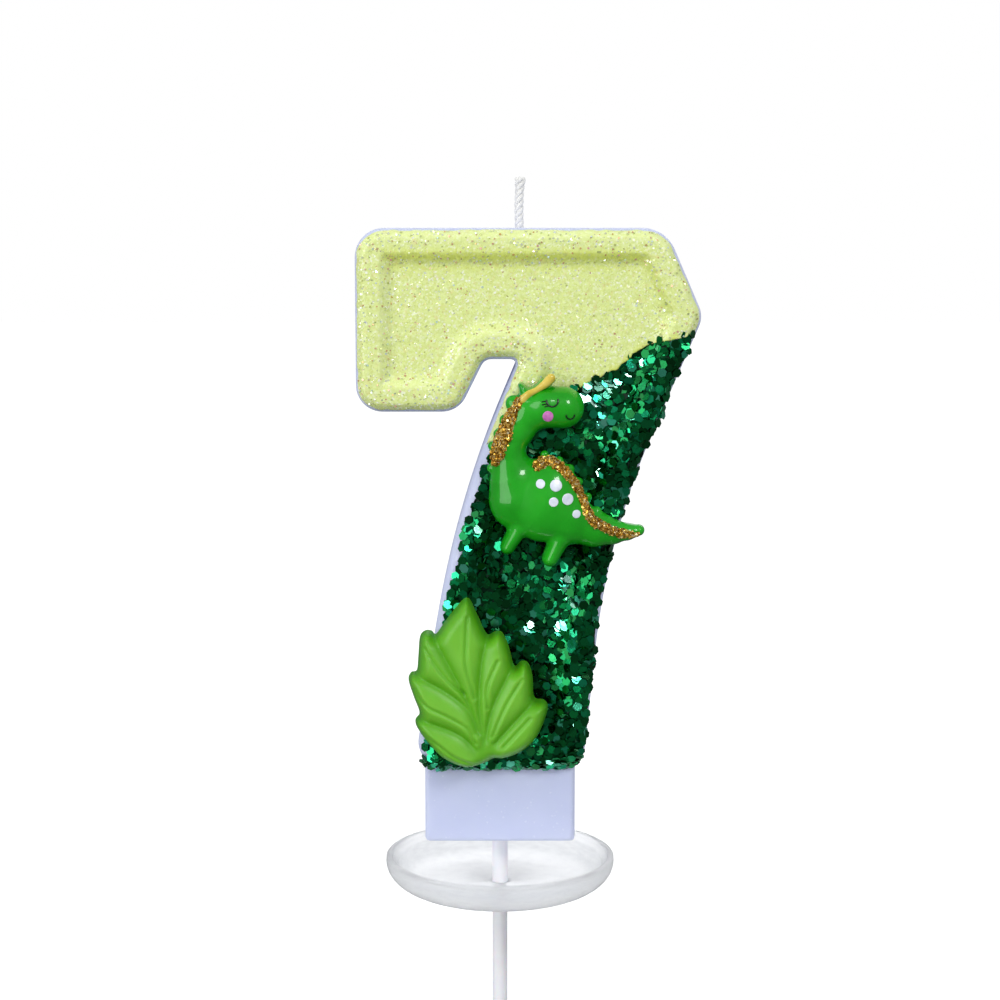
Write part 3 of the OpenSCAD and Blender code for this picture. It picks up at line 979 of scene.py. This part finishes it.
def dinosaur_field(x, y, z):
    total = join(puff(x, y, z, HEAD), puff(x, y, z, NECK, 0.5), 0.5)
    body = join(puff(x, y, z, BELLY, 0.6), puff(x, y, z, HUMP), 0.6)
    total = join(total, join(body, puff(x, y, z, TAIL, 0.5), 0.6), 0.8)
    for leg in LEGS:
        total = join(total, puff(x, y, z, leg), 0.45)
    crest_bed = [(cx, cz, radius + 0.17, 2.3) for cx, cz, radius in CREST_LINE]
    total = join(total, puff(x, y, z, crest_bed, 0.2), 0.2)
    total = join(total, puff(x, y, z, EAR), 0.3)
    for bx, bz, radius in BUMPS:
        bump = np.sqrt((x - bx) ** 2 + (z - bz) ** 2 + (y + CHARM_BACK + 0.9) ** 2) - radius
        total = join(total, bump, 0.4)
    return keep(total, y + CHARM_BACK, 0.15)


def skin_y(x, z):
    """Foremost y of the dinosaur above a place in the front plane."""
    ys = np.linspace(-CHARM_BACK - 5, -CHARM_BACK, 251)
    inside = dinosaur_field(np.full_like(ys, x), ys, np.full_like(ys, z)) < 0
    return ys[np.argmax(inside)] if inside.any() else -CHARM_BACK - 1.0


def bead_field(line, rough):
    """A bead laid along a line on the dinosaur, and the box that holds it."""
    path = smooth_path([(x, skin_y(x, z) + 0.35 * radius, z, radius) for x, z, radius in line], 4)

    def field(x, y, z):
        total = np.inf
        for (*a, a_radius), (*b, b_radius) in zip(path, path[1:]):
            t, away = to_segment((x, y, z), a, b)
            total = np.minimum(total, away - a_radius - t * (b_radius - a_radius))
        return total + rough * lumps(x, y, z, 0.35)

    widest = path[:, 3].max()
    return field, path.min(0)[:3] - widest, path.max(0)[:3] + widest


def painted(drawing):
    """A thin film on the dinosaur's front, inside a drawing in the front plane."""
    def field(x, y, z):
        skin = dinosaur_field(x, y, z)
        film = np.maximum(skin - 0.07, -0.06 - skin)
        return keep(np.maximum(film, y + CHARM_BACK + 1.2), drawing(x, z), 0.04)
    return field


def stroke(points, width):
    return lambda x, z: line_distance(x, z, np.array(points)) - width / 2


def arc(centre_x, centre_z, radius, start, end):
    """Points of an arc, its ends in degrees."""
    angles = np.radians(np.linspace(start, end, 13))
    return [(centre_x + radius * math.cos(a), centre_z + radius * math.sin(a)) for a in angles]


def eyelid_drawing(x, z):
    ex, ez, radius = EYELID
    total = stroke(arc(ex, ez, radius, 176, 372), 0.2)(x, z)
    for angle, length in ((182, 0.6), (208, 0.62), (234, 0.5)):
        out = np.radians(angle)
        start = (ex + radius * math.cos(out), ez + radius * math.sin(out))
        end = (start[0] - length * 0.95, start[1] + length * math.sin(out + 0.5) * 0.25)
        total = np.minimum(total, stroke([start, end], 0.13)(x, z))
    return total


def dots_drawing(dots):
    return lambda x, z: reduce(np.minimum, (np.hypot(x - a, z - b) - radius for a, b, radius in dots))


def mark(name, drawing, low, high, step, paint, slot, node):
    """A printed mark inside a box of x and z."""
    back, front = -CHARM_BACK - 1.2, -CHARM_BACK - 4.4
    solid(name, painted(drawing), (low[0], front, low[1]), (high[0], back, high[1]), step, paint, slot, node)


def dinosaur():
    solid(
        "dinosaur", dinosaur_field, DINO_LOW - 0.5, DINO_HIGH + 0.5, 0.125,
        dinosaur_paint(), "green_resin", "dinosaur_charm")


def dinosaur_crest():
    field, low, high = bead_field(CREST_LINE, 0.0)
    solid("dinosaur_crest_paint", field, low, high, 0.09, amber_paint(), "amber_paint", "dinosaur_crest")


def dinosaur_marks():
    ink = ink_paint()
    smile = stroke(arc(*SMILE, 182, 358), 0.18)
    mark("dinosaur_closed_eye", eyelid_drawing, (4.4, 60.6), (7.2, 62.4), 0.06,
         ink, "dark_paint", "dinosaur_eyelid")
    mark("dinosaur_smile_line", smile, (7.5, 59.3), (9.1, 60.4), 0.06,
         ink, "dark_paint", "dinosaur_smile")
    mark("dinosaur_pink_cheek", dots_drawing([CHEEK]), (4.8, 59.1), (6.5, 60.8), 0.07,
         pink_paint(), "pink_paint", "dinosaur_cheek")
    mark("dinosaur_white_spots", dots_drawing(SPOTS), (4.0, 47.6), (9.8, 52.8), 0.08,
         white_paint(), "white_paint", "dinosaur_spots")


def gold_line(name, line, node, seed, glue, flake):
    """Bead of glitter glue with loose flakes on it."""
    rng = np.random.default_rng(seed)
    field, low, high = bead_field(line, 0.16)
    _, points = solid(name + "_bead", field, low - 0.2, high + 0.2, 0.11, glue, "gold_glitter", node)
    chosen = points[rng.random(len(points)) < 0.32]
    normals = unit(slope_of(field, chosen, 0.05))
    proud = dinosaur_field(*chosen.T) > -0.05
    chosen, normals = chosen[proud], normals[proud]
    sizes = rng.uniform(0.22, 0.38, len(chosen))
    centres = chosen + normals * 0.05
    flakes = flake_mesh(name + "_flakes", centres, tilted(normals, 30, rng), sizes, 0.03, flake, rng)
    place(flakes, "candle", "gold_glitter")


def gold_lines():
    glue, flake = gold_glue_paint(), gold_flake_paint()
    gold_line("neck_gold", NECK_GOLD, "neck_gold_glitter", SEED + 2, glue, flake)
    gold_line("back_gold", BACK_GOLD, "back_gold_glitter", SEED + 3, glue, flake)


# ---- leaf charm and glue

leaf_inset = inset_chart(smooth_loop(LEAF_EDGE), 1.5, 0.08)


def nearest_line(x, z, lines):
    return reduce(np.minimum, (line_distance(x, z, smooth_path(line)) for line in lines))


def leaf_relief(x, z):
    """Height of the leaf's front: a pillow for each lobe, with a grooved vein."""
    rim = round_over(np.clip(leaf_inset(x, z), 0, None) / 1.5)
    crease, vein = nearest_line(x, z, LEAF_CREASES), nearest_line(x, z, LEAF_VEINS)
    away = eased((np.hypot(x - LEAF_BASE[0], z - LEAF_BASE[1]) - 0.3) / 2.0)
    pillow = 0.6 + away * (round_over((crease + 0.1) / 2.0) - 0.6)
    crown = 1 - (np.hypot((x + 2.8) / 10, (z - 25.1) / 14)) ** 2
    groove = away * 0.3 * np.exp(-((vein / 0.16) ** 2)) - 0.06 * np.exp(-(((vein - 0.42) / 0.2) ** 2))
    return rim * (1.15 + 1.35 * pillow + 0.75 * crown) - groove * rim


leaf_height = Chart(
    LEAF_EDGE.min(0) - 1, LEAF_EDGE.max(0) + 1, 0.08, lambda x, z: blurred(leaf_relief(x, z), 1.5))


def leaf_field(x, y, z):
    rise = -y - CHARM_BACK
    body = np.maximum((rise - leaf_height(x, z)) * 0.6, -leaf_inset(x, z) - 0.05)
    return np.maximum(body, -rise)


def leaf():
    low, high = LEAF_LOW - 0.3, LEAF_HIGH + 0.3
    piece, points = solid("leaf", leaf_field, low, high, 0.12, leaf_paint(), "leaf_resin", "leaf_charm")
    # Relief height for the leaf's colour, which paints shade in the creases and light on the crests
    rise = -points[:, 1] - CHARM_BACK
    paint_points(piece, "height", np.clip((rise - 0.9) / 2.2, 0, 1))


def glue_dab(name, centre, paint):
    """A squeezed puddle of glue between the sunk panel and a charm."""
    back = -(HALF - SINK) - 0.1
    middle, half = (back - CHARM_BACK) / 2, (CHARM_BACK + back) / 2

    def field(x, y, z):
        spread = np.hypot(x - centre[0], z - centre[1]) + 0.35 * lumps(x, 0, z, 1.6)
        return keep(spread - GLUE_R, np.abs(y - middle) - half, 0.5)

    reach = GLUE_R + 0.5
    low = (centre[0] - reach, -CHARM_BACK, centre[1] - reach)
    high = (centre[0] + reach, -HALF + SINK, centre[1] + reach)
    solid(name, field, low, high, 0.2, paint, "clear_glue", name + "_dab")


def glue_dabs():
    paint = clear_glue_paint()
    glue_dab("dinosaur_glue", DINO_GLUE, paint)
    glue_dab("leaf_glue", LEAF_GLUE, paint)


# ---- turned pieces and the wick

def ring_quads(low, high):
    """Faces between two rings of point numbers, triangles where a ring is one point."""
    around = zip(low, low[1:] + low[:1], high[1:] + high[:1], high)
    return [list(dict.fromkeys(quad)) for quad in around]


def turned(name, section, paint, sides):
    """Ring or rod turned about the stick's axis from r, z. A rod's section ends on the axis."""
    angle = np.arange(sides) * 2 * math.pi / sides
    points, rows = [], []
    for r, z in section:
        if r < 1e-6:
            rows.append([len(points)] * sides)
            points.append((0, 0, z))
        else:
            rows.append(list(range(len(points), len(points) + sides)))
            points.extend(zip(r * np.cos(angle), r * np.sin(angle), np.full(sides, z)))
    is_ring = section[0][0] > 1e-6
    pairs = zip(rows, rows[1:] + rows[:1] if is_ring else rows[1:])
    return make_mesh(name, points, [face for pair in pairs for face in ring_quads(*pair)], paint)


def dish_curve(start, end):
    """Quarter ellipse from a flat start to an upright end: r, z."""
    a = np.radians(np.linspace(0, 90, 22))
    r = start[0] + (end[0] - start[0]) * np.sin(a)
    z = end[1] - (end[1] - start[1]) * np.cos(a)
    return list(zip(r, z))


def tray_section():
    """The tray's closed section, from its hole out, up, over the rim and back inside: r, z."""
    wall, base, hole = 0.8, 8.9, 1.025
    lip = wall / 2
    lip_r, lip_z = TRAY_RIM - lip, TRAY_TOP - lip
    foot = [(hole, 0.08), (hole + 0.1, 0), (base - 1.2, 0), (base - 0.5, 0.02)]
    outside = dish_curve((base, 0), (TRAY_RIM, lip_z - lip))
    turns = np.radians(np.arange(20, 181, 20))
    bead = [(lip_r + lip * math.cos(a), lip_z + lip * math.sin(a)) for a in turns]
    ledge = [(lip_r - lip - 0.03, lip_z - 0.3), (lip_r - lip - 0.5, lip_z - 0.42)]
    inside = base - wall
    inner = dish_curve((inside, wall), (TRAY_RIM - wall - 0.62, lip_z - 0.7))[::-1]
    middle = [(inside - 0.25, wall - 0.03), (inside - 0.8, wall), (hole + 0.5, wall), (hole, wall - 0.08)]
    return foot + outside + [(TRAY_RIM - 0.02, lip_z)] + bead + ledge + inner + middle


def tray():
    section, sides = tray_section(), 192
    piece = turned("tray", section, tray_paint(), sides)
    radius, height = np.repeat(section, sides, axis=0).T
    # Painted shade: the inner wall above the dish's floor is marked for a greyer tone
    inner_wall = radius < TRAY_RIM - 1.3
    paint_points(piece, "inner_wall_shade", eased((height - 1.1) / 0.7) * inner_wall)
    place(piece, "tray", "frosted_plastic", "drip_tray")


def stick_section():
    """Half the stick's section, from its point to its top: r, z."""
    shank, pin, tip, taper_top = 0.975, 0.935, 0.4, -20
    tip_z = STICK_BOTTOM + tip
    point = [(tip * math.sin(a), tip_z - tip * math.cos(a)) for a in np.radians(np.arange(0, 91, 15))]
    taper = [
        (tip + (pin - tip) * t**0.9, tip_z + (taper_top - tip_z) * t) for t in np.linspace(0.1, 1, 10)]
    straight = [(pin, -10), (pin, 0.0), (shank, 0.8), (shank, 4)]
    return point + taper + straight + [(shank, STICK_TOP - 0.1), (shank - 0.1, STICK_TOP), (0, STICK_TOP)]


def stick():
    place(turned("stick_rod", stick_section(), stick_paint(), 64), "candle", "white_plastic", "stick")


def wick_strand(route, along, phase):
    """One strand's middle, winding round the route and looser near its end."""
    turn, pitch, loose_end = 0.26, 2.4, 1.4
    a = 2 * math.pi * (along / pitch + phase)
    out = turn * (1 + 0.5 * eased((along - along[-1] + loose_end) / loose_end))
    return np.stack([route[:, 0] + out * np.cos(a), out * np.sin(a), route[:, 1]], 1)


def tube(centre, radius, sides, first):
    """Closed tube along a line, narrower at its end, its points numbered from first."""
    way = unit(np.gradient(centre, axis=0))
    a = unit(np.cross(way, (0, 1, 0)))
    b = np.cross(way, a)
    radii = np.full((len(centre), 1), radius)
    radii[-1] *= 0.55
    turns = 2 * math.pi * np.arange(sides) / sides
    points = np.stack([centre + radii * (math.cos(w) * a + math.sin(w) * b) for w in turns], 1).reshape(-1, 3)
    rows = (first + np.arange(len(points)).reshape(-1, sides)).tolist()
    faces = [face for pair in zip(rows, rows[1:]) for face in ring_quads(*pair)]
    return points, faces + [rows[0][::-1], rows[-1]]


def wick():
    route = smooth_path([
        (3.5, 32), (5.6, 48), (7.2, 62), (6.4, 68), (3.4, 74.6), (2.45, 78), (2.35, TOP),
        (2.3, TOP + 3), (2.45, WICK_TOP),
    ], 40)
    along = np.concatenate([[0], np.cumsum(np.linalg.norm(np.diff(route, axis=0), axis=1))])
    points, faces = np.empty((0, 3)), []
    for strand in range(3):
        more_points, more_faces = tube(wick_strand(route, along, strand / 3), 0.3, 8, len(points))
        points = np.vstack([points, more_points])
        faces += more_faces
    place(make_mesh("cotton_wick", points, faces, wick_paint()), "candle", "wick_cotton", "wick")


# ---- stage, light and camera

def lamp(name, position, size, power):
    """A soft rectangular light aimed at the candle's middle, in metres and watts."""
    light = bpy.data.lights.new(name, "AREA")
    light.shape = "RECTANGLE"
    light.size, light.size_y = size
    light.energy = power
    made = new_object(name, light)
    made.location = position
    aim = Vector((0.003, 0, 0.05)) - Vector(position)
    made.rotation_euler = aim.to_track_quat("-Z", "Y").to_euler()


def lamps():
    lamp("key", tuple(KEY * MM), (0.14, 0.14), 0.95)
    lamp("window", (-0.34, -0.29, 0.14), (0.34, 0.42), 1.15)
    lamp("back", (0.1, 0.45, 0.30), (0.4, 0.3), 0.5)


def world():
    """White where it is seen. Its light is weaker from below and in reflections."""
    made = bpy.data.worlds.new("studio")
    bpy.context.scene.world = made
    made.use_nodes = True
    net = Nodes(made.node_tree)
    sky = net.node("TexCoord").outputs["Generated"]
    height = net.node("SeparateXYZ", Vector=sky).outputs["Z"]
    path = net.node("LightPath").outputs
    fade = net.result("MapRange", height, From_Min=-1, To_Min=0.28, To_Max=0.75)
    dim = net.result("MapRange", path["Is Glossy Ray"], To_Min=1.0, To_Max=0.4)
    light = net.result("Background", (0.93, 0.96, 1.0, 1), net.math("MULTIPLY", fade, dim))
    direct = net.math("MAXIMUM", path["Is Camera Ray"], path["Is Transmission Ray"])
    mixed = net.result("MixShader", direct, light, net.result("Background", (1, 1, 1, 1)))
    net.feed(net.tree.nodes["World Output"].inputs["Surface"], mixed)


def floor():
    """Pale floor below the tray's lowest place, left out of reflections."""
    paint = Paint(
        "floor", Roughness=0.9, Specular_IOR_Level=0.0, Base_Color=(0.3, 0.3, 0.3, 1),
        Emission_Color=(1, 1, 1, 1), Emission_Strength=0.92)
    reach, height = 4000, STICK_BOTTOM - 9.0
    corners = [(reach * x, reach * y, height) for x, y in ((-1, -1), (1, -1), (1, 1), (-1, 1))]
    made = make_mesh("floor", corners, [[0, 1, 2, 3]], paint.material)
    made.visible_glossy = False
    made.visible_diffuse = False


def camera():
    """The photograph's view, from in front and tilted down."""
    data = bpy.data.cameras.new("camera")
    data.lens = 72
    data.sensor_width = 36
    data.clip_start = 0.01
    data.clip_end = 20
    made = new_object("camera", data)
    made.location = EYE * MM
    made.rotation_euler = (math.radians(90 - TILT), 0, 0)
    bpy.context.scene.camera = made


# ---- the whole candle

wax_seven()
yellow_glitter()
green_glue()
green_flakes()
pearl_flakes()
dinosaur()
dinosaur_crest()
dinosaur_marks()
gold_lines()
leaf()
glue_dabs()
tray()
stick()
wick()
world()
floor()
lamps()
camera()
bpy.context.scene.view_settings.view_transform = "Standard"
